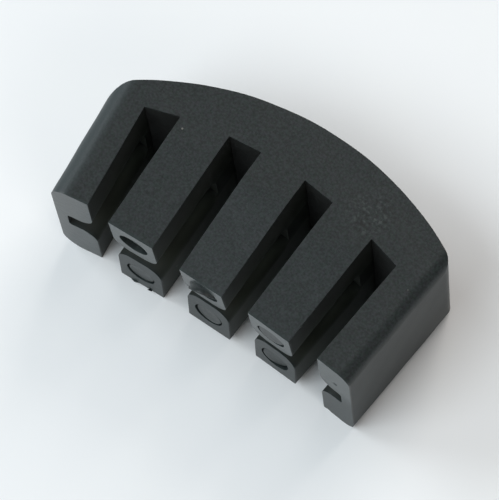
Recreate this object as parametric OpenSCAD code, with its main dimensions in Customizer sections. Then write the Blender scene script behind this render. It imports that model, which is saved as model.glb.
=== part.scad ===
// Rubber practice mute for the bridge of a violin, lying on its back face.
// +Z is the thickness, front face up. +X runs along the row of prongs.
// +Y points from the prong tips to the crown. The origin is under the middle of the part.

/* [Body] */
// Thickness from back face to front face
thickness = 21.5; // [19:0.5:24]
// Half of the greatest width, at the shoulders
half_width = 26.6; // [26:0.1:28]
// Half width at the tip of the left end prong
tip_half_left = 24.8; // [24:0.1:25.5]
// Half width at the tip of the right end prong
tip_half_right = 25.3; // [24.5:0.1:25.8]
// Height of the crown above the prong tips
crown_height = 27.7; // [27:0.1:30]
// Radius of the crown's arc
crown_r = 48.1; // [46:0.1:52]
// Sideways shift of the crown's highest point, which stands over the bass strings
crown_shift = 3.4; // [0:0.1:4]
// Radius of the left shoulder
shoulder_r_left = 5; // [3:0.5:6]
// Radius of the right shoulder
shoulder_r_right = 2.5; // [2:0.5:5]
// Radius of the front face's edges along the two sides
front_edge_r = 2; // [1:0.1:2.5]
// Radius of the back face's edges along the two sides
back_edge_r = 2.8; // [1:0.1:3]

/* [String slots] */
// Width of a string slot at its closed end
slot_w = 5; // [4.5:0.1:5.2]
// Width of each string slot at the prong tips
slot_tip_w = [3.7, 4.55, 4.4, 4.8]; // [3.5:0.05:5]

/* [Bridge slot] */
// Gap between the two halves of each prong
bridge_gap = 3.4; // [2.5:0.1:4]
// Depth of the bridge slot above the prong tips
bridge_depth = 15; // [13:0.5:15.5]
// Wall that closes the bridge slot at each end
web = 1.8; // [1.2:0.1:3]
// Radius of the prongs' edges along the bridge slot
prong_edge_r = 2.4; // [1:0.1:3]
// Angle by which each half of the left, middle and right inner prong closes on the bridge
pinch = [1.8, 4.3, 4.3]; // [0:0.1:4.5]

/* [Prong tips] */
// Height of the inner corner of the left and right end prong's tip above the inner tips
end_tip_y = [0.2, -0.05]; // [-0.5:0.05:0.5]
// Slant of the left and right end prong's tip
end_tip_slant = [8, 5]; // [0:0.5:9]
// Slant of the left, middle and right inner prong's tip
tip_slant = [-2.5, 0, 2.5]; // [-4:0.5:4]

/* [Plugs] */
// Diameter of the round plugs in the prong tips
plug_d = 4.6; // [3.5:0.1:5]
// Length of a plug
plug_len = 3.5; // [2:0.5:6]
// Width of the fine ring groove around a plug's head
ring_w = 0.25; // [0.15:0.05:0.4]
// Depth of the ring groove
ring_depth = 0.8; // [0.4:0.1:1.5]

/* [Hidden] */

$fn = 48;
rubber = [0.13, 0.14, 0.145];
plug_rubber = [0.16, 0.165, 0.17];
FRONT = 1;
BACK = -1;
// Middle of each string slot at its closed end, and at the prong tips
slot_root_x = [-18.5, -6.25, 6.1, 18.5];
slot_tip_x = [-17.1, -5.78, 5.75, 17.35];
// Height above the tips of the outer and the inner corner of each closed end
slot_outer_y = [16.3, 19.35, 19.4, 16.8];
slot_inner_y = [17.9, 19.9, 19.95, 18.1];
over = 1;                                   // how far a cut runs past the face it opens
corner_over = 0.25;                         // how far an edge cutter runs past the corner it rounds
tip_extra = 3;                              // how far the block runs past the tips before they are cut
root_overlap = 2;                           // how far a half prong runs into its root
skin = 0.02;                                // thickness of a slice of the slab
mid_z = thickness / 2;
crown_y = crown_height - crown_r;           // centre of the crown's arc
half_prong_t = (thickness - bridge_gap) / 2;
arc_steps = 28;
shoulder_steps = 6;
edge_steps = 5;

// ---- plan outline -------------------------------------------------------

// The left (-1) and the right (1) side's radius of the shoulder, and half width at the tips
function shoulder_r(side) = side < 0 ? shoulder_r_left : shoulder_r_right;
function tip_half(side) = side < 0 ? tip_half_left : tip_half_right;

// Centre of a shoulder's arc, which is tangent to the crown's arc
function shoulder(side) =
    let (x = side * (half_width - shoulder_r(side)), reach = crown_r - shoulder_r(side))
    [x, crown_y + sqrt(pow(reach, 2) - pow(x - crown_shift, 2))];

// Lean of a side, so that it runs from the tip to its shoulder
function lean(side) = atan((half_width - tip_half(side)) / shoulder(side)[1]);

// Point of a side's straight line at height y, drawn in by inset
function side_point(side, y, inset) = [side * (tip_half(side) - inset + y * tan(lean(side))), y];

// Lowest point of an end prong, where its slanted tip meets its side
function end_outer_y(side, edge, y, slant) =
    (y - (tip_half(side) - edge) * tan(slant)) / (1 + tan(lean(side)) * tan(slant));

// Direction from the crown's centre to a shoulder's centre, where the two arcs meet
function crown_angle(side) = atan2(shoulder(side)[1] - crown_y, shoulder(side)[0] - crown_shift);

function arc(centre, r, from, to, steps) =
    [for (i = [0 : steps]) let (a = from + (to - from) * i / steps) centre + r * [cos(a), sin(a)]];

// The D shape, run past the tips
function outline() =
    concat([side_point(1, -tip_extra, 0)],
           arc(shoulder(1), shoulder_r_right, -lean(1), crown_angle(1), shoulder_steps),
           arc([crown_shift, crown_y], crown_r, crown_angle(1), crown_angle(-1), arc_steps),
           arc(shoulder(-1), shoulder_r_left, crown_angle(-1), 180 + lean(-1), shoulder_steps),
           [side_point(-1, -tip_extra, 0)]);

// Profile of a rounded edge from its face to its wall: pairs of inset and distance from the face
function edge_profile(r) =
    [for (i = [0 : edge_steps - 1]) let (a = 90 * i / edge_steps) [r - r * sin(a), r - r * cos(a)]];

// The block before any slot: the D shape cut from a slab whose edges are rounded along the two sides
module block() {
    intersection() {
        linear_extrude(thickness) polygon(outline());
        hull() {
            for (p = edge_profile(back_edge_r)) slab(p[0], p[1], skin);
            slab(-skin, back_edge_r, thickness - back_edge_r - front_edge_r);
            for (p = edge_profile(front_edge_r)) slab(p[0], thickness - p[1] - skin, skin);
        }
    }
}

// A slice of the slab between the two leaning sides, longer than the D shape at both ends
module slab(inset, z, height) {
    low = -tip_extra - over;
    high = crown_height + over;
    translate([0, 0, z]) linear_extrude(height)
        polygon([side_point(-1, low, inset), side_point(1, low, inset),
                 side_point(1, high, inset), side_point(-1, high, inset)]);
}

// ---- slots --------------------------------------------------------------

// Left and right edge of string slot i at the tips and at the closed end
function tip_edge(i, side) = slot_tip_x[i] + side * slot_tip_w[i] / 2;
function root_corner(i, side) =
    let (outer = (i < 2) ? side < 0 : side > 0)
    [slot_root_x[i] + side * slot_w / 2, outer ? slot_outer_y[i] : slot_inner_y[i]];

// A point of a slot's edge at height y above the tips
function edge_at(i, side, y) =
    let (root = root_corner(i, side)) [tip_edge(i, side) + (root[0] - tip_edge(i, side)) * y / root[1], y];

// The space that holds the inner prongs: slots and prongs together, between the end prongs
module inner_window() {
    closed_ends = [for (i = [0 : 3]) each [root_corner(i, -1), root_corner(i, 1)]];
    translate([0, 0, -over]) linear_extrude(thickness + 2 * over)
        polygon(concat([edge_at(0, -1, -tip_extra - over)], closed_ends, [edge_at(3, 1, -tip_extra - over)]));
}

// The bridge slot through the two end prongs, closed by a web at each outer end
module end_prong_slots() {
    low = -tip_extra - over;
    translate([0, 0, mid_z - bridge_gap / 2]) linear_extrude(bridge_gap)
        polygon([side_point(-1, low, web), side_point(1, low, web),
                 side_point(1, bridge_depth, web), side_point(-1, bridge_depth, web)]);
}

// Cuts the tip of an end prong square to its own lean; side is -1 or 1
module end_tip_cut(side) {
    edge = side < 0 ? tip_edge(0, -1) : tip_edge(3, 1);
    slant = side < 0 ? -end_tip_slant[0] : end_tip_slant[1];
    y = side < 0 ? end_tip_y[0] : end_tip_y[1];
    translate([edge, y, -over]) rotate([0, 0, -slant])
        translate([-half_width / 2, -half_width, 0]) cube([half_width, half_width, thickness + 2 * over]);
}

// Takes the corner off one prong edge along the bridge slot, leaving it rounded.
// from and to are the edge's ends in plan, dir is 1 where the prong lies on the edge's +X side.
module edge_cutter(from, to, dir, face) {
    run = to - from;
    r = prong_edge_r;
    translate([from[0], from[1], mid_z + face * bridge_gap / 2])
        rotate([0, 0, atan2(run[1], run[0]) - 90])
            rotate([90, 0, 180])
                linear_extrude(norm(run))
                    mirror([dir > 0 ? 1 : 0, 0])
                        mirror([0, face > 0 ? 0 : 1])
                            difference() {
                                translate([-corner_over, -corner_over]) square(r + corner_over);
                                translate([r, r]) circle(r);
                            }
}

// ---- prongs -------------------------------------------------------------

// Turns a half of inner prong k, 0 to 2, about the floor of the bridge slot
module pinched(k, face) {
    translate([0, bridge_depth, mid_z]) rotate([face * pinch[k], 0, 0]) translate([0, -bridge_depth, -mid_z])
        children();
}

// Middle of an inner prong at the tips, and the height of its tip before it is pinched:
// pinching turns the tip outwards, so the prong starts that much shorter
function prong_x(k) = (tip_edge(k, 1) + tip_edge(k + 1, -1)) / 2;
function prong_tip_y(k) = mid_z * sin(pinch[k]);
function slanted_tip(k, x) = prong_tip_y(k) + (prong_x(k) - x) * tan(tip_slant[k]);

// Plan of inner prong k between its two string slots, from its tip into its root
function prong_plan(k) =
    [edge_at(k, 1, slanted_tip(k, tip_edge(k, 1))), edge_at(k + 1, -1, slanted_tip(k, tip_edge(k + 1, -1))),
     edge_at(k + 1, -1, bridge_depth + root_overlap), edge_at(k, 1, bridge_depth + root_overlap)];

module half_prong(k, face) {
    bottom = face == FRONT ? mid_z + bridge_gap / 2 : 0;
    intersection() {
        pinched(k, face) difference() {
            translate([0, 0, bottom]) linear_extrude(half_prong_t) polygon(prong_plan(k));
            edge_cutter(edge_at(k, 1, -over), edge_at(k, 1, bridge_depth), 1, face);
            edge_cutter(edge_at(k + 1, -1, -over), edge_at(k + 1, -1, bridge_depth), -1, face);
            plug_shape(k, face, 0, over);
        }
        translate([-half_width, -half_width, 0]) cube([2 * half_width, 2 * half_width, thickness]);
    }
}

// The solid root of an inner prong, from the floor of the bridge slot to the crown
module prong_root(k) {
    linear_extrude(thickness)
        polygon([edge_at(k, 1, bridge_depth), edge_at(k + 1, -1, bridge_depth),
                 root_corner(k + 1, -1), root_corner(k, 1)]);
}

// ---- plugs --------------------------------------------------------------

// A plug's cylinder in the tip of a half prong; inset narrows it, extra runs it out of the tip
module plug_shape(k, face, inset, extra) {
    x = prong_x(k);
    z = mid_z + face * (bridge_gap + half_prong_t) / 2;
    translate([x, prong_tip_y(k), z]) rotate([0, 0, -tip_slant[k]]) rotate([-90, 0, 0])
        translate([0, 0, -extra]) cylinder(d = plug_d - 2 * inset, h = plug_len + extra);
}

// Everything in front of the bottom of the ring groove of inner prong k
module ring_space(k) {
    translate([prong_x(k), prong_tip_y(k), 0]) rotate([0, 0, -tip_slant[k]])
        translate([-plug_d, -over, 0]) cube([2 * plug_d, ring_depth + over, thickness]);
}

module plug(k, face) {
    color(plug_rubber) translate([0, -mid_y, 0]) pinched(k, face) difference() {
        plug_shape(k, face, 0, 0);
        difference() {
            ring_space(k);
            plug_shape(k, face, ring_w, 2 * over);
        }
    }
}

// ---- nodes --------------------------------------------------------------

lowest_y = min(end_outer_y(-1, -tip_edge(0, -1), end_tip_y[0], end_tip_slant[0]),
               end_outer_y(1, tip_edge(3, 1), end_tip_y[1], end_tip_slant[1]));
mid_y = (crown_height + lowest_y) / 2;

module mute_body() {
    color(rubber) translate([0, -mid_y, 0]) union() {
        difference() {
            block();
            inner_window();
            end_prong_slots();
            for (side = [-1, 1]) end_tip_cut(side);
            for (face = [FRONT, BACK]) {
                edge_cutter(edge_at(0, -1, -over), edge_at(0, -1, bridge_depth), -1, face);
                edge_cutter(edge_at(3, 1, -over), edge_at(3, 1, bridge_depth), 1, face);
            }
        }
        for (k = [0 : 2]) {
            prong_root(k);
            for (face = [FRONT, BACK]) half_prong(k, face);
        }
    }
}

module front_plug_left() plug(0, FRONT);
module front_plug_middle() plug(1, FRONT);
module front_plug_right() plug(2, FRONT);
module back_plug_left() plug(0, BACK);
module back_plug_middle() plug(1, BACK);
module back_plug_right() plug(2, BACK);

mute_body();
front_plug_left();
front_plug_middle();
front_plug_right();
back_plug_left();
back_plug_middle();
back_plug_right();
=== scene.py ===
"""A rubber practice mute for a violin bridge, lying on its back face on a pale table.

The body is one moulded piece of rubber. It is described as a distance field in millimetres, and meshed from
that. In the field x runs along the row of prongs, y is the height above the prong tips, and z the height
above the back face. The six round plugs in the prong tips are turned pieces of their own. The row frame is
the frame that the CAD and the scene share, in metres.
"""

import math

import bpy
import numpy as np
from mathutils import Matrix, Vector


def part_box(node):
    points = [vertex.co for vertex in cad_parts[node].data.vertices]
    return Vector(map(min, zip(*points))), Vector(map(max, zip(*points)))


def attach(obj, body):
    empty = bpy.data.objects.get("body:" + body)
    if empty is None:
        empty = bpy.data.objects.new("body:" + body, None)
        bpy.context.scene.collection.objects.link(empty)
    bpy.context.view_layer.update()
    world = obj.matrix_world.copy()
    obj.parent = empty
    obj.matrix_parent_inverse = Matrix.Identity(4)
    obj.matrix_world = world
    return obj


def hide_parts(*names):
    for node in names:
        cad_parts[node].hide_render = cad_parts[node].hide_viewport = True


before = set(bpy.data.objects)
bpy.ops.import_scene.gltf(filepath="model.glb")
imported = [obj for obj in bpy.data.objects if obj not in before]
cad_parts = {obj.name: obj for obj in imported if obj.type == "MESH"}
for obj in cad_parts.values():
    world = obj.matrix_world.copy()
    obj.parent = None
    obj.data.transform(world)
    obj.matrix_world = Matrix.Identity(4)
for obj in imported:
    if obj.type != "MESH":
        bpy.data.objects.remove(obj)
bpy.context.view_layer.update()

# ---- sizes in millimetres ------------------------------------------------

MM = 0.001
BODY_LOW, BODY_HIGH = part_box("mute_body")
THICKNESS = (BODY_HIGH.z - BODY_LOW.z) / MM
CROWN_HEIGHT = 27.7
TIPS_Y = BODY_HIGH.y / MM - CROWN_HEIGHT        # the row frame's y at the prong tips
MID_Z = THICKNESS / 2

CROWN_R = 48.1
CROWN_SHIFT = 3.4
HALF_WIDTH_LEFT = 25.0                          # at the tips
HALF_WIDTH_RIGHT = 25.3
LEAN_LEFT = 0.118                               # how far a side moves out for each unit of height
LEAN_RIGHT = 0.067
SHOULDER_R_LEFT = 2.7                           # how far round a shoulder eases the side into the crown
SHOULDER_R_RIGHT = 1.4
FRONT_EDGE_R_LEFT = 3.0                         # the long edges of the two sides; the crown's edges are crisp
FRONT_EDGE_R_RIGHT = 2.0
BACK_EDGE_R_LEFT = 3.4
BACK_EDGE_R_RIGHT = 2.2

# String slots, from left to right: edges at the tips, and corners of the closed end
SLOT_TIP_X = [(-18.95, -15.25), (-8.05, -3.5), (3.55, 7.95), (14.95, 19.75)]
SLOT_ROOT_X = [(-21.0, -16.0), (-8.75, -3.75), (3.6, 8.6), (16.0, 21.0)]
SLOT_ROOT_Y = [(16.3, 17.9), (19.35, 19.9), (19.95, 19.4), (18.1, 16.8)]

# Bridge slot, which runs through all five prongs
BRIDGE_GAP = 3.4
BRIDGE_DEPTH = 15.0
WEB = 1.8                                       # rubber left at the two ends of the bridge slot
WEB_R = 0.5                                     # radius in the corners of the bridge slot at these webs
PRONG_EDGE_R = 2.5                              # radius where the string slots meet the bridge slot

# Prongs, from left to right: height and slant of the tip, how far the front and the back face of the prong
# close on the bridge at the tip, how far the two sides of the gap do, and how far the tip recedes towards it
TIP_Y = [-0.25, 0.0, 0.0, 0.0, -0.3]
TIP_SLANT = [8.0, 2.5, 0.0, -2.5, -5.0]
FRONT_DROP = [0.0, 0.55, 1.7, 1.2, 0.0]
BACK_LIFT = [0.0, 0.35, 1.5, 1.8, 0.0]
GAP_CLOSE = [0.0, 0.2, 1.0, 1.0, 0.0]
TIP_RECESS = [0.0, 0.4, 0.7, 0.55, 0.0]
BEND_EASE = 1.5                                 # the length over which a prong begins to bend

# How far the crisp edges are eased, in how many steps, and the bend in degrees that counts as an edge
EDGE_EASE = 0.12
EDGE_STEPS = 2
EDGE_ANGLE = 32

# Slow waves of the moulding: their height, and two products of two sines. A sine has three slopes in radians
# per millimetre along x, y and z, and a phase
WAVE_HEIGHT = 0.03
WAVES = [
    ((0.61, 0.37, 0, 1.3), (0, 0.53, -0.29, 0.4)),
    ((0.31, -0.72, 0.47, 0), (0.43, 0, 0.35, 2.1)),
]

POCKET_R = 2.3                                  # a plug's pocket in a prong's tip
POCKET_DEPTH = 3.6

# Nibs of flash on the tips' lower edges: middle and half lengths along x, y and z
NIBS = [
    ((-12.95, 0.0, 0.5), (0.7, 0.24, 0.24)),
    ((-10.4, 0.05, 0.45), (0.28, 0.13, 0.18)),
    ((20.7, -0.22, 0.2), (0.3, 0.24, 0.16)),
]
DIMPLE = ((22.65, -0.55, 15.85), 0.42)          # middle and radius of the pit in the right end prong's tip
HALVES = {"front": 1, "back": -1}
PLUG_PRONGS = {"left": 1, "middle": 2, "right": 3}

# Finish, painted light and painted shade: the two values between which each share rises from 0 to 1.
# Distances are negative inside the rubber
TIP_SKIN = (-0.35, -0.05)                       # distance beyond a prong's end face
SIDE_SHADE_BAND = (-0.25, -0.02)                      # distance outside the two sides, where their painted shade begins
SLOT_SKIN = (-0.4, -0.1)                        # distance into the slots
END_SHADE_BAND = (-0.5, -0.1)                         # distance beyond a string slot's closed end, where its painted shade begins
END_MARGIN = 0.3                                # how far that end's painted shade reaches past its corners
BELOW_RIM = (0.1, 0.5)                          # depth below the front face, for what is inside the slots
ON_FRONT = (0.5, 0.1)                           # depth below the front face, for what is on that face
SLOT_LIGHT_Y = (0.5, 5.0)                             # height at which painted light in the string slots begins
SLOT_LIGHT_Z = (2.0, 8.0)                             # depth below the front face at which that painted light begins
GAP_LIGHT_Y = (5.0, 10.0)                             # height at which a stronger painted light in the bridge slot begins
GAP_WALL = (1.8, 0.6)                           # distance outside the bridge slot
GAP_FLOOR_Y = (12.5, 14.8)                      # height at which the bridge slot's floor is near, where the painted light is weaker
DULL_SHADED_TIPS_X = (-20.0, -14.0)                    # where the lower tips turn dull and take painted shade, along x
DULL_SHADED_TIPS_Z = (MID_Z + BRIDGE_GAP, MID_Z - BRIDGE_GAP)
HIGHLIGHT_SIDE = (-3.5, -0.8)                        # distance outside the left side, for a painted highlight along its front edge
HIGHLIGHT_FRONT = (4.0, 1.0)                         # depth below the front face, along the same edge
SCUFF = (14.0, 20.8, 4.5)                       # middle and radius of a scuffed patch on the front face
SCUFF_CORE = 1.5                                # the part of that radius where it is strongest

CELL = 0.34                                     # size of the mesh's cells
GRID_LOW = (-27.0, -1.0, 0.0)                   # the grid's box, with a margin round it
GRID_HIGH = (27.0, CROWN_HEIGHT, THICKNESS)
MARGIN = 1.0
GRADIENT_STEP = 0.01                            # how far to each side of a point the field is compared
CROSSING_STEPS = 6                              # steps in finding where the surface crosses a grid edge
CROSSING_SHARE = (0.05, 0.95)                   # a step's new point lies between these parts of what is left
MIDDLE_PULL = 0.02                              # how strongly a vertex is held at the middle of its crossings
TINY = 1e-9


# ---- distance field of the body ------------------------------------------

def rounded_max(a, b, r):
    """The overlap of two solids given as distances, with their shared edge rounded to radius r."""
    u, v = a + r, b + r
    outside = np.hypot(np.maximum(u, 0), np.maximum(v, 0)) - r
    return outside + np.minimum(np.maximum(u, v), 0)


def beside(x, y, start, end):
    """Distance to the left of the line from start to end."""
    dx, dy = end[0] - start[0], end[1] - start[1]
    return (dx * (y - start[1]) - dy * (x - start[0])) / math.hypot(dx, dy)


def side_distance(x, y, side):
    """Distance outside the left (-1) or right (1) side of the body."""
    half, lean = (HALF_WIDTH_LEFT, LEAN_LEFT) if side < 0 else (HALF_WIDTH_RIGHT, LEAN_RIGHT)
    return (side * x - half - lean * y) / math.hypot(1, lean)


def outline_distance(x, y):
    """Distance outside the D shape: two leaning sides, the arc of the crown, and eased shoulders."""
    sides = np.maximum(side_distance(x, y, -1), side_distance(x, y, 1))
    crown = np.hypot(x - CROWN_SHIFT, y - CROWN_HEIGHT + CROWN_R) - CROWN_R
    return rounded_max(sides, crown, np.where(x < 0, SHOULDER_R_LEFT, SHOULDER_R_RIGHT))


def block_distance(x, y, front, back, upper):
    """Distance outside the block. Its long edges are rounded along the two sides, and crisp along the crown.

    front and back are the distances outside the two faces, and upper is true in the front half.
    """
    across = np.clip((x + HALF_WIDTH_LEFT) / (HALF_WIDTH_LEFT + HALF_WIDTH_RIGHT), 0, 1)
    front_r = FRONT_EDGE_R_LEFT + (FRONT_EDGE_R_RIGHT - FRONT_EDGE_R_LEFT) * across
    back_r = BACK_EDGE_R_LEFT + (BACK_EDGE_R_RIGHT - BACK_EDGE_R_LEFT) * across
    edge_r = np.where(upper, front_r, back_r)
    sides = np.maximum(side_distance(x, y, -1), side_distance(x, y, 1))
    slab = rounded_max(sides, np.maximum(front, back), edge_r)
    return np.maximum(slab, outline_distance(x, y))


def slot_distance(x, y, i):
    """Distance outside string slot i, in plan."""
    (tip_a, tip_b), (root_a, root_b), (y_a, y_b) = SLOT_TIP_X[i], SLOT_ROOT_X[i], SLOT_ROOT_Y[i]
    left = beside(x, y, (tip_a, 0), (root_a, y_a))
    end = beside(x, y, (root_a, y_a), (root_b, y_b))
    right = beside(x, y, (root_b, y_b), (tip_b, 0))
    return np.maximum(np.maximum(left, end), right)


def prong_at(x, y):
    """Which prong, 0 to 4, a point belongs to: the borders run along the middles of the string slots."""
    k = np.zeros(x.shape, int)
    for (tip_a, tip_b), (root_a, root_b), (y_a, y_b) in zip(SLOT_TIP_X, SLOT_ROOT_X, SLOT_ROOT_Y):
        tip, root = (tip_a + tip_b) / 2, (root_a + root_b) / 2
        k += x > tip + (root - tip) * y / ((y_a + y_b) / 2)
    return k


def tip_middle(k):
    """Middle of a prong's tip in x."""
    if k == 0:
        return (-HALF_WIDTH_LEFT + SLOT_TIP_X[0][0]) / 2
    if k == len(SLOT_TIP_X):
        return (SLOT_TIP_X[-1][1] + HALF_WIDTH_RIGHT) / 2
    return (SLOT_TIP_X[k - 1][1] + SLOT_TIP_X[k][0]) / 2


def bend_share(y):
    """How much of a prong's bend is reached at height y: 1 at the tip, 0 above the bridge slot's floor."""
    below = BRIDGE_DEPTH - y
    eased = (below + BEND_EASE) ** 2 / (4 * BEND_EASE)
    share = np.where(below > BEND_EASE, below, np.where(below < -BEND_EASE, 0, eased))
    return share / BRIDGE_DEPTH


def slow_waves(x, y, z):
    """Gentle unevenness of a moulded face."""
    def sine(along_x, along_y, along_z, phase):
        return np.sin(along_x * x + along_y * y + along_z * z + phase)

    total = sum(sine(*first) * sine(*second) for first, second in WAVES)
    return WAVE_HEIGHT * total / len(WAVES)


def per_prong(values, k):
    """Each point's value from a list that has one for each prong."""
    return np.array(values, float)[k]


def pocket_frame(k, half):
    """Centre of a plug's pocket at the prong tip and the pocket's direction into the prong."""
    outer = (FRONT_DROP if half > 0 else BACK_LIFT)[k]
    outer_z = MID_Z - outer
    inner_z = BRIDGE_GAP / 2 - GAP_CLOSE[k]
    depth = (outer_z + inner_z) / 2
    recess = TIP_RECESS[k] * (1 - depth / MID_Z)
    centre = np.array([tip_middle(k), TIP_Y[k] + recess, MID_Z + half * depth])
    slant = math.tan(math.radians(TIP_SLANT[k]))
    axis = np.array([-slant, 1, half * (outer + GAP_CLOSE[k]) / 2 / BRIDGE_DEPTH])
    return centre, axis / np.linalg.norm(axis)


def pocket_distance(x, y, z, k, half):
    """Distance outside the round pocket of a plug."""
    centre, axis = pocket_frame(k, half)
    p = np.stack([x, y, z], -1) - centre
    along = p @ axis
    across = np.linalg.norm(p - along[..., None] * axis, axis=-1)
    return np.maximum(across - POCKET_R, along - POCKET_DEPTH)


def tip_distance(x, y, z, k):
    """Distance beyond the end face of prong k."""
    slant = np.tan(np.radians(per_prong(TIP_SLANT, k)))
    middles = per_prong([tip_middle(i) for i in range(len(TIP_Y))], k)
    inward = 1 - np.abs(z - MID_Z) / MID_Z
    tip_y = per_prong(TIP_Y, k) + slant * (x - middles) + per_prong(TIP_RECESS, k) * inward
    return (tip_y - y) / np.hypot(1, slant)


def any_slot_distance(x, y):
    """Distance outside the nearest string slot, in plan."""
    nearest = slot_distance(x, y, 0)
    for i in range(1, len(SLOT_TIP_X)):
        nearest = np.minimum(nearest, slot_distance(x, y, i))
    return nearest


def gap_distance(z, k, bend):
    """Distance outside the gap between the two halves of prong k."""
    return np.abs(z - MID_Z) - BRIDGE_GAP / 2 + per_prong(GAP_CLOSE, k) * bend


def slots_distance(x, y, z, k, bend):
    """Distance into the string slots or the bridge slot, which meet in rounded edges along the prongs."""
    webs = np.maximum(side_distance(x, y, -1), side_distance(x, y, 1)) + WEB
    gap = rounded_max(gap_distance(z, k, bend), webs, WEB_R)
    bridge_slot = np.maximum(gap, y - BRIDGE_DEPTH)
    to_floor = np.clip((BRIDGE_DEPTH - y) / PRONG_EDGE_R, 0, 1)
    prong_r = PRONG_EDGE_R * np.sqrt(to_floor * (2 - to_floor))
    return rounded_max(-any_slot_distance(x, y), -bridge_slot, prong_r)


def blob_distance(x, y, z, middle, half_size):
    """Distance outside a small ellipsoid."""
    scaled = [(value - m) / h for value, m, h in zip((x, y, z), middle, half_size)]
    return (np.sqrt(scaled[0] ** 2 + scaled[1] ** 2 + scaled[2] ** 2) - 1) * min(half_size)


def body_distance(x, y, z):
    """Distance outside the rubber body, with sharp edges."""
    k = prong_at(x, y)
    bend = bend_share(y)
    front = z - (THICKNESS - per_prong(FRONT_DROP, k) * bend)
    back = per_prong(BACK_LIFT, k) * bend - z
    block = block_distance(x, y, front, back, z > MID_Z) + slow_waves(x, y, z) + WAVE_HEIGHT

    solid = np.maximum(block, tip_distance(x, y, z, k))
    solid = np.maximum(solid, slots_distance(x, y, z, k, bend))
    for prong in PLUG_PRONGS.values():
        for half in HALVES.values():
            solid = np.maximum(solid, -pocket_distance(x, y, z, prong, half))

    # marks of the moulding
    for middle, half_size in NIBS:
        solid = np.minimum(solid, blob_distance(x, y, z, middle, half_size))
    middle, radius = DIMPLE
    return np.maximum(solid, -blob_distance(x, y, z, middle, (radius, radius, radius)))


# ---- meshing -------------------------------------------------------------

def gradient(field, p):
    """Direction in which a field grows fastest at each point."""
    parts = []
    for axis in range(3):
        step = np.zeros(3)
        step[axis] = GRADIENT_STEP
        parts.append(field(*(p + step).T) - field(*(p - step).T))
    g = np.stack(parts, -1)
    return g / np.maximum(np.linalg.norm(g, axis=-1, keepdims=True), TINY)


def crossings(field, axes, values, axis):
    """Where the surface crosses the grid's edges along one axis.

    Returns each crossing's grid index and point, and whether the edge starts inside.
    """
    inside = values < 0
    a = [slice(None)] * 3
    b = [slice(None)] * 3
    a[axis], b[axis] = slice(None, -1), slice(1, None)
    a, b = tuple(a), tuple(b)
    index = np.argwhere(inside[a] != inside[b])
    rows = tuple(index.T)
    low, high = values[a][rows], values[b][rows]
    start = np.stack([axes[n][index[:, n]] for n in range(3)], -1)
    t_low, t_high = np.zeros(len(index)), np.ones(len(index))
    point = start.copy()
    for _ in range(CROSSING_STEPS):
        t = t_low + (t_high - t_low) * np.clip(low / (low - high), *CROSSING_SHARE)
        point[:, axis] = start[:, axis] + t * CELL
        here = field(*point.T)
        first = (here < 0) == (low < 0)
        low, t_low = np.where(first, here, low), np.where(first, t, t_low)
        high, t_high = np.where(first, high, here), np.where(first, t_high, t)
    return index, point, inside[a][rows]


def cells_round(index, axis):
    """The four cells that share each grid edge, in turning order."""
    u, v = (axis + 1) % 3, (axis + 2) % 3
    found = []
    for du, dv in ((0, 0), (-1, 0), (-1, -1), (0, -1)):
        cell = index.copy()
        cell[:, u] += du
        cell[:, v] += dv
        found.append(cell)
    return found


def surface(field, low, high):
    """The mesh of a field's zero, by dual contouring.

    There is one vertex in each cell that the surface passes through, where the surface's planes in that cell
    meet, so that edges stay sharp.
    """
    axes = [np.arange(low[n], high[n] + CELL, CELL) for n in range(3)]
    shape = tuple(len(a) for a in axes)
    values = np.empty(shape)
    yy, zz = np.meshgrid(axes[1], axes[2], indexing="ij")
    for i, x in enumerate(axes[0]):
        values[i] = field(np.full(yy.shape, x), yy, zz)

    quads, ids, points, normals = [], [], [], []
    for axis in range(3):
        index, point, starts_inside = crossings(field, axes, values, axis)
        normal = gradient(field, point)
        ring = [np.ravel_multi_index(tuple(c.T), shape) for c in cells_round(index, axis)]
        quad = np.stack(ring, -1)
        quads.append(np.where(starts_inside[:, None], quad, quad[:, ::-1]))
        for r in ring:
            ids.append(r)
            points.append(point)
            normals.append(normal)
    ids, points, normals = np.concatenate(ids), np.concatenate(points), np.concatenate(normals)
    cell_ids, row = np.unique(ids, return_inverse=True)
    count = np.bincount(row).astype(float)

    def total(weights):
        return np.bincount(row, weights=weights, minlength=len(cell_ids))

    middle = np.stack([total(points[:, n]) / count for n in range(3)], -1)
    offset = np.einsum("ij,ij->i", normals, points - middle[row])
    square = np.empty((len(cell_ids), 3, 3))
    side = np.empty((len(cell_ids), 3))
    for i in range(3):
        side[:, i] = total(normals[:, i] * offset)
        for j in range(3):
            square[:, i, j] = total(normals[:, i] * normals[:, j])
    square += MIDDLE_PULL * np.eye(3) * count[:, None, None]
    vertex = middle + np.linalg.solve(square, side[..., None])[..., 0]
    corner = np.stack(np.unravel_index(cell_ids, shape), -1)
    floor = np.stack([axes[n][0] + corner[:, n] * CELL for n in range(3)], -1)
    vertex = np.clip(vertex, floor, floor + CELL)
    faces = np.searchsorted(cell_ids, np.concatenate(quads))
    return vertex, faces


def add_mesh(name, vertices, faces, material):
    """A smooth-shaded object from points in metres in the row frame."""
    mesh = bpy.data.meshes.new(name)
    mesh.from_pydata(vertices.tolist(), [], [tuple(int(i) for i in f) for f in faces])
    mesh.polygons.foreach_set("use_smooth", np.ones(len(mesh.polygons), bool))
    mesh.materials.append(material)
    mesh.update()
    piece = bpy.data.objects.new(name, mesh)
    bpy.context.scene.collection.objects.link(piece)
    return piece


def to_row_frame(points):
    """Millimetres above the tips to metres in the row frame."""
    return (points + np.array([0, TIPS_Y, 0])) * MM


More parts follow.
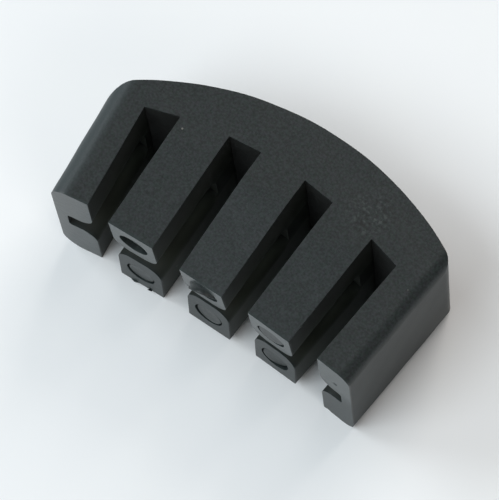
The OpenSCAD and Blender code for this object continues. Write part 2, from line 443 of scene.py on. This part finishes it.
def ease_edges(piece):
    """Rounds the sharp edges of a mesh slightly, and keeps its flat faces flat."""
    bevel = piece.modifiers.new("ease", "BEVEL")
    bevel.width = EDGE_EASE * MM
    bevel.segments = EDGE_STEPS
    bevel.limit_method = "ANGLE"
    bevel.angle_limit = math.radians(EDGE_ANGLE)
    bevel.harden_normals = True


def ramp(value, low, high):
    """0 below low, 1 above high, and even between them; low may be the greater of the two."""
    return np.clip((value - low) / (high - low), 0, 1)


def regions(x, y, z):
    """How much of each kind of finish, painted light and painted shade the rubber has at each point, from 0
    to 1.
    """
    k = prong_at(x, y)
    bend = bend_share(y)
    below_front = THICKNESS - per_prong(FRONT_DROP, k) * bend - z
    left = side_distance(x, y, -1)
    right = side_distance(x, y, 1)
    scuff_x, scuff_y, scuff_r = SCUFF

    tip = ramp(tip_distance(x, y, z, k), *TIP_SKIN)
    # the lower tips: a rougher finish, and painted shade in their colour
    dull_shaded = ramp(z, *DULL_SHADED_TIPS_Z) * ramp(x, *DULL_SHADED_TIPS_X)
    hollow = ramp(slots_distance(x, y, z, k, bend), *SLOT_SKIN) * ramp(below_front, *BELOW_RIM) * (1 - tip)
    # painted light: deep in the string slots the colour is lightened
    painted_slot_light = hollow * ramp(y, *SLOT_LIGHT_Y) * ramp(below_front, *SLOT_LIGHT_Z)
    near_gap = ramp(gap_distance(z, k, bend), *GAP_WALL)
    # painted shade: the string slots' closed ends are darkened
    closed_end_shade = 0
    for (root_a, root_b), (y_a, y_b) in zip(SLOT_ROOT_X, SLOT_ROOT_Y):
        beyond = beside(x, y, (root_a, y_a), (root_b, y_b))
        across = np.abs(x - (root_a + root_b) / 2)
        within = across < (root_b - root_a) / 2 + END_MARGIN
        closed_end_shade = np.maximum(closed_end_shade, ramp(beyond, *END_SHADE_BAND) * within)
    return {
        "tip": tip * (1 - dull_shaded),
        "dull_shaded_tip": tip * dull_shaded,
        "hollow": hollow,
        "painted_slot_light": painted_slot_light,
        # painted light: strongest in the bridge slot
        "gap": painted_slot_light * ramp(y, *GAP_LIGHT_Y) * near_gap,
        # a weaker painted light on the bridge slot's floor
        "gap_floor_light": painted_slot_light * ramp(y, *GAP_FLOOR_Y) * near_gap,
        "closed_end_shade": hollow * closed_end_shade,
        # painted shade on the two sides
        "side": ramp(np.maximum(left, right), *SIDE_SHADE_BAND) * (1 - tip),
        # painted highlight along the left front edge
        "left_edge_highlight": ramp(left, *HIGHLIGHT_SIDE) * ramp(below_front, *HIGHLIGHT_FRONT) * (1 - tip),
        "scuff": ramp(np.hypot(x - scuff_x, y - scuff_y), scuff_r, SCUFF_CORE) * ramp(below_front, *ON_FRONT),
    }


def make_body(material):
    """The body's mesh, with its regions of finish, painted light and painted shade stored at its points."""
    points, faces = surface(body_distance, np.array(GRID_LOW) - MARGIN, np.array(GRID_HIGH) + MARGIN)
    body = add_mesh("rubber_body", to_row_frame(points), faces, material)
    for name, share in regions(*points.T).items():
        body.data.attributes.new(name, "FLOAT", "POINT").data.foreach_set("value", share)
    ease_edges(body)
    return body


# ---- plugs ---------------------------------------------------------------

PLUG_R = 2.27
PLUG_HEAD_R = 2.08
PLUG_LENGTH = 3.4
PLUG_HEAD = [(0.0, 0.05), (0.8, 0.04), (1.5, 0.02)]     # radius and depth across the slightly hollow head
PLUG_EASE = 0.12                                # rounding of the head's edge, and its points
PLUG_EASE_POINTS = 5
PLUG_NECK = 0.75                                # depth of the groove round the head
PLUG_NECK_FLARE = 0.06                          # how far below the groove the full radius begins
PLUG_FOOT_EASE = 0.3
PLUG_TURN = 72                                  # points round a plug
# How each plug sits: depth, rise along z, and tilt about x and about z in degrees
PLUG_SEAT = {
    "front_plug_left": (0.8, 0, 0, 0),
    "front_plug_middle": (-0.3, -0.2, 14, 10),
    "front_plug_right": (0.12, 0, -5, 2),
    "back_plug_left": (0.14, 0, 0, 0),
    "back_plug_middle": (0.12, 0, 0, -2),
    "back_plug_right": (0.3, 0, 0, 8),
}


def plug_profile():
    """Radius and depth of a plug from the middle of its head to the middle of its foot."""
    ease = [(PLUG_HEAD_R - PLUG_EASE * (1 - math.sin(a)), PLUG_EASE * (1 - math.cos(a)))
            for a in np.linspace(0, math.pi / 2, PLUG_EASE_POINTS)]
    neck = [(PLUG_HEAD_R, PLUG_NECK), (PLUG_R, PLUG_NECK + PLUG_NECK_FLARE)]
    foot = [(PLUG_R, PLUG_LENGTH - PLUG_FOOT_EASE), (PLUG_R - PLUG_FOOT_EASE, PLUG_LENGTH)]
    return PLUG_HEAD + ease + neck + foot + [(0.0, PLUG_LENGTH)]


def turned(profile):
    """Points and faces of a round piece with its axis along y."""
    points = [(0.0, profile[0][1], 0.0)]
    for r, depth in profile[1:-1]:
        for i in range(PLUG_TURN):
            a = 2 * math.pi * i / PLUG_TURN
            points.append((r * math.cos(a), depth, r * math.sin(a)))
    points.append((0.0, profile[-1][1], 0.0))
    faces = []
    rings = len(profile) - 2
    for i in range(PLUG_TURN):
        j = (i + 1) % PLUG_TURN
        faces.append((0, 1 + i, 1 + j))
        for ring in range(rings - 1):
            a, b = 1 + ring * PLUG_TURN, 1 + (ring + 1) * PLUG_TURN
            faces.append((a + i, b + i, b + j, a + j))
        last = 1 + (rings - 1) * PLUG_TURN
        faces.append((last + j, last + i, len(points) - 1))
    return np.array(points), faces


def make_plug(node, k, half, material):
    """One plug in its pocket: prong k, and the front (1) or back (-1) half of it."""
    points, faces = turned(plug_profile())
    depth, rise, tilt_x, tilt_z = PLUG_SEAT[node]
    centre, axis = pocket_frame(k, half)
    turn = Vector((0, 1, 0)).rotation_difference(Vector(axis)).to_matrix()
    tilt = Matrix.Rotation(math.radians(tilt_x), 3, "X") @ Matrix.Rotation(math.radians(tilt_z), 3, "Z")
    points = points @ np.array(turn @ tilt).T + centre + axis * depth + np.array([0, 0, rise])
    piece = add_mesh("rubber_" + node, to_row_frame(points), faces, material)
    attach(piece, "root")
    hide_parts(node)
    return piece


# ---- materials -----------------------------------------------------------

RUBBER_IOR = 1.44
# Noise scales in features per metre, and the noise values between which each takes effect
MOTTLE_SCALE = 1300
MOTTLE_RANGE = (0.3, 0.7)
GRAIN_SCALE = 2900
GRAIN_RANGE = (0.36, 0.64)
TINT_SCALE = 2200
TINT_RANGE = (0.38, 0.62)
DUST_SCALE = 260
DUST_RANGE = (0.03, 0.045)
SCUFF_SCALE = 1900
CARD_SCALE = 60
CARD_RANGE = (0.3, 0.7)
# Strength of a bump, and its height in metres
MOTTLE_BUMP = (0.12, 0.0002)
GRAIN_BUMP = (0.2, 0.00006)
# Two pairs of a dark and a light colour: one pair slightly green, one slightly violet
BODY_COLOURS = (
    ((0.0050, 0.0105, 0.0090), (0.0155, 0.0240, 0.0230)),
    ((0.0070, 0.0095, 0.0105), (0.0180, 0.0220, 0.0250)),
)
BODY_ROUGHNESS = (0.40, 0.47)
PLUG_COLOURS = (
    ((0.0120, 0.0185, 0.0165), (0.0220, 0.0310, 0.0290)),
    ((0.0140, 0.0175, 0.0185), (0.0240, 0.0290, 0.0310)),
)
PLUG_ROUGHNESS = (0.36, 0.44)
# Colour and roughness of the body where its finish differs, and where light and shade are painted into its
# colour
REGIONS = {
    "tip": ((0.021, 0.031, 0.031), 0.31),
    # painted shade and a rougher finish on the lower tips
    "dull_shaded_tip": ((0.013, 0.0205, 0.0205), 0.41),
    # painted shade: a darker colour on the two sides
    "side": ((0.006, 0.0110, 0.0105), 0.52),
    # painted highlight along the left front edge
    "left_edge_highlight": ((0.022, 0.0330, 0.0350), 0.50),
    "hollow": ((0.014, 0.0180, 0.0160), 0.60),
    # painted light: a lighter colour deep in the string slots
    "painted_slot_light": ((0.048, 0.0570, 0.0450), 0.65),
    # painted light: the strongest, in the bridge slot
    "gap": ((0.125, 0.1430, 0.1150), 0.70),
    # a weaker painted light on the bridge slot's floor
    "gap_floor_light": ((0.028, 0.0340, 0.0270), 0.70),
    # painted shade on the string slots' closed ends
    "closed_end_shade": ((0.006, 0.0075, 0.0065), 0.70),
}
# Marks in the scuffed patch: the noise values between which they fade in, and their colour
SCUFF_COLOURS = [(0.46, 0.36, (0.004, 0.0055, 0.0055)), (0.54, 0.66, (0.034, 0.0420, 0.0410))]
DUST = (0.11, 0.11, 0.10)
TABLE_COLOURS = ((0.80, 0.83, 0.845), (0.81, 0.84, 0.85))
TABLE_ROUGHNESS = 0.9
# Places of a Mix node's sockets, whose names repeat: a, b and result, for colours and for numbers
COLOUR_SOCKETS = (6, 7, 2)
NUMBER_SOCKETS = (2, 3, 0)


class Nodes:
    """Short calls for building a material's nodes."""

    def __init__(self, name):
        self.material = bpy.data.materials.new(name)
        self.material.use_nodes = True
        self.tree = self.material.node_tree
        self.shader = self.tree.nodes["Principled BSDF"]
        place = self.tree.nodes.new("ShaderNodeTexCoord")
        self.place = place.outputs["Object"]

    def set(self, **values):
        """Sets the shader's own numbers."""
        for name, value in values.items():
            self.shader.inputs[name.replace("_", " ")].default_value = value

    def link(self, a, b):
        self.tree.links.new(a, b)

    def noise(self, scale, detail=4.0, roughness=0.55):
        """Noise whose features are 1/scale metres across; its values are 0 to 1."""
        n = self.tree.nodes.new("ShaderNodeTexNoise")
        n.inputs["Scale"].default_value = scale
        n.inputs["Detail"].default_value = detail
        n.inputs["Roughness"].default_value = roughness
        self.link(self.place, n.inputs["Vector"])
        return n.outputs["Fac"]

    def cells(self, scale):
        """Distance from the middle of the nearest of many scattered cells, 1/scale metres across."""
        n = self.tree.nodes.new("ShaderNodeTexVoronoi")
        n.inputs["Scale"].default_value = scale
        self.link(self.place, n.inputs["Vector"])
        return n.outputs["Distance"]

    def spread(self, value, low, high, to_low, to_high):
        """Maps low..high to to_low..to_high, clamped."""
        n = self.tree.nodes.new("ShaderNodeMapRange")
        for name, number in (("From Min", low), ("From Max", high), ("To Min", to_low), ("To Max", to_high)):
            n.inputs[name].default_value = number
        self.link(value, n.inputs["Value"])
        return n.outputs["Result"]

    def mix(self, share, a, b):
        """Colour a where share is 0, b where it is 1; each is a colour or a socket."""
        n = self.tree.nodes.new("ShaderNodeMix")
        n.data_type = "RGBA"
        self.link(share, n.inputs["Factor"])
        place_a, place_b, result = COLOUR_SOCKETS
        for place, value in ((place_a, a), (place_b, b)):
            if isinstance(value, tuple):
                n.inputs[place].default_value = (*value, 1)
            else:
                self.link(value, n.inputs[place])
        return n.outputs[result]

    def region(self, name):
        """A share that is stored at the mesh's points."""
        n = self.tree.nodes.new("ShaderNodeAttribute")
        n.attribute_name = name
        return n.outputs["Fac"]

    def blend(self, share, a, b):
        """Number a where share is 0, b where it is 1."""
        n = self.tree.nodes.new("ShaderNodeMix")
        self.link(share, n.inputs["Factor"])
        place_a, place_b, result = NUMBER_SOCKETS
        self.link(a, n.inputs[place_a])
        n.inputs[place_b].default_value = b
        return n.outputs[result]

    def multiply(self, a, b):
        """The product of two shares."""
        n = self.tree.nodes.new("ShaderNodeMath")
        n.operation = "MULTIPLY"
        self.link(a, n.inputs[0])
        self.link(b, n.inputs[1])
        return n.outputs[0]

    def bump(self, height, strength, distance, below=None):
        """Surface directions for a height; distance is its size in metres, below a bump under it."""
        n = self.tree.nodes.new("ShaderNodeBump")
        n.inputs["Strength"].default_value = strength
        n.inputs["Distance"].default_value = distance
        self.link(height, n.inputs["Height"])
        if below is not None:
            self.link(below, n.inputs["Normal"])
        return n.outputs["Normal"]


def rubber(name, colours, roughness):
    """Matte moulded rubber, grained at about 0.3 mm and mottled at about 0.8 mm.

    Returns its nodes, colour and roughness, which finish_rubber completes, and the noises of its two bumps.
    """
    m = Nodes(name)
    mottle = m.noise(MOTTLE_SCALE)
    grain = m.noise(GRAIN_SCALE, detail=3)
    share = m.spread(grain, *GRAIN_RANGE, 0, 1)
    green = m.mix(share, *colours[0])
    violet = m.mix(share, *colours[1])
    colour = m.mix(m.spread(m.noise(TINT_SCALE, detail=2), *TINT_RANGE, 0, 1), green, violet)
    return m, colour, m.spread(mottle, *MOTTLE_RANGE, *roughness), mottle, grain


def finish_rubber(m, colour, roughness, mottle, grain):
    """Adds a few specks of dust and the bumps, and returns the material."""
    speck = m.spread(m.cells(DUST_SCALE), *DUST_RANGE, 1, 0)
    m.link(m.mix(speck, colour, DUST), m.shader.inputs["Base Color"])
    m.link(roughness, m.shader.inputs["Roughness"])
    coarse = m.bump(mottle, *MOTTLE_BUMP)
    m.link(m.bump(grain, *GRAIN_BUMP, coarse), m.shader.inputs["Normal"])
    m.set(IOR=RUBBER_IOR)
    return m.material


def body_rubber():
    """The body's rubber, which is smoother on the tips and dull in the slots, with painted light in the
    slots, painted shade on the sides, the slots' closed ends and the lower tips, and a painted highlight
    along the left front edge.
    """
    m, colour, roughness, mottle, grain = rubber("body_rubber", BODY_COLOURS, BODY_ROUGHNESS)
    for region, (region_colour, region_roughness) in REGIONS.items():
        share = m.region(region)
        colour = m.mix(share, colour, region_colour)
        roughness = m.blend(share, roughness, region_roughness)
    marks = m.noise(SCUFF_SCALE, detail=3)
    for low, high, scuff_colour in SCUFF_COLOURS:
        mark = m.multiply(m.region("scuff"), m.spread(marks, low, high, 0, 1))
        colour = m.mix(mark, colour, scuff_colour)
    return finish_rubber(m, colour, roughness, mottle, grain)


def plug_rubber():
    """The plugs' rubber, a little paler and glossier than the body's."""
    return finish_rubber(*rubber("plug_rubber", PLUG_COLOURS, PLUG_ROUGHNESS))


def table_top():
    """Smooth white card."""
    m = Nodes("white_card")
    shade = m.spread(m.noise(CARD_SCALE), *CARD_RANGE, 0, 1)
    m.link(m.mix(shade, *TABLE_COLOURS), m.shader.inputs["Base Color"])
    m.set(Roughness=TABLE_ROUGHNESS)
    return m.material


# ---- stage ---------------------------------------------------------------

TABLE_SIZE = 3.0                                # metres, as are all lengths of the stage
AIM_ABOVE_TIPS = 10.4                           # millimetres
AIM = Vector((0.0003, (AIM_ABOVE_TIPS + TIPS_Y) * MM, 0.010))   # the point that the camera looks at
VIEW_AZIMUTH = 45.15
VIEW_ELEVATION = 69.92
VIEW_ROLL = -10.16
VIEW_DISTANCE = 0.5528
LENS = 286.4
SHIFT_X = -0.001
CLIP_START = 0.01
ROOM_LIGHT = 0.15
ROOM_COLOUR = (0.93, 0.97, 1.0)
COOL = (0.905, 0.96, 1.0)
WARM = (1.0, 0.915, 0.855)
LAMP_DISTANCE = 0.9
LAMP_SIZE = 0.5
# Soft lamps: name, direction in degrees from the picture's right, elevation, power in watts, colour
LAMPS = [
    ("window_left", 150, 35, 3.9, COOL),
    ("window_near", 210, 55, 4.1, COOL),
    ("lamp_near", 300, 35, 1.5, WARM),
    ("lamp_far", 60, 35, 3.1, WARM),
    ("lamp_far_high", 60, 55, 1.0, WARM),
]


def make_table():
    """A wide sheet of white card under the mute."""
    half = TABLE_SIZE / 2
    corners = np.array([(-half, -half, 0), (half, -half, 0), (half, half, 0), (-half, half, 0)])
    table = add_mesh("table", corners, [(0, 1, 2, 3)], table_top())


def view_axes():
    """The camera's right, up and back directions."""
    a, e, roll = (math.radians(v) for v in (VIEW_AZIMUTH, VIEW_ELEVATION, VIEW_ROLL))
    back = Vector((math.sin(a) * math.cos(e), -math.cos(a) * math.cos(e), math.sin(e)))
    level = Vector((math.cos(a), math.sin(a), 0))
    upright = back.cross(level)
    right = level * math.cos(roll) + upright * math.sin(roll)
    return right, back.cross(right), back


def make_camera():
    """The photograph's view, slightly rolled."""
    right, up, back = view_axes()
    data = bpy.data.cameras.new("camera")
    data.lens = LENS
    data.shift_x = SHIFT_X
    data.clip_start = CLIP_START
    camera = bpy.data.objects.new("camera", data)
    bpy.context.scene.collection.objects.link(camera)
    turn = Matrix((right, up, back)).transposed().to_4x4()
    camera.matrix_world = Matrix.Translation(AIM + back * VIEW_DISTANCE) @ turn
    bpy.context.scene.camera = camera


def make_light(name, toward, elevation, power, colour):
    """A soft square lamp. toward is its direction in the picture, in degrees from the picture's right."""
    right, up, _ = view_axes()
    t, e = math.radians(toward), math.radians(elevation)
    flat = right * math.cos(t) + up * math.sin(t)
    flat.z = 0
    flat.normalize()
    way = flat * math.cos(e) + Vector((0, 0, math.sin(e)))
    data = bpy.data.lights.new(name, "AREA")
    data.shape = "SQUARE"
    data.size = LAMP_SIZE
    data.energy = power
    data.color = colour
    lamp = bpy.data.objects.new(name, data)
    bpy.context.scene.collection.objects.link(lamp)
    turn = way.to_track_quat("Z", "Y").to_matrix().to_4x4()
    lamp.matrix_world = Matrix.Translation(way * LAMP_DISTANCE) @ turn


def make_world():
    """A dim, even room light, and plain colour handling."""
    world = bpy.data.worlds.new("studio")
    world.use_nodes = True
    background = world.node_tree.nodes["Background"]
    background.inputs["Color"].default_value = (*ROOM_COLOUR, 1)
    background.inputs["Strength"].default_value = ROOM_LIGHT
    bpy.context.scene.world = world
    bpy.context.scene.view_settings.view_transform = "Standard"


make_world()
make_table()
make_camera()
for lamp in LAMPS:
    make_light(*lamp)

body = make_body(body_rubber())
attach(body, "root")
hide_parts("mute_body")

plug_material = plug_rubber()
for half_name, half in HALVES.items():
    for prong_name, prong in PLUG_PRONGS.items():
        make_plug(half_name + "_plug_" + prong_name, prong, half, plug_material)
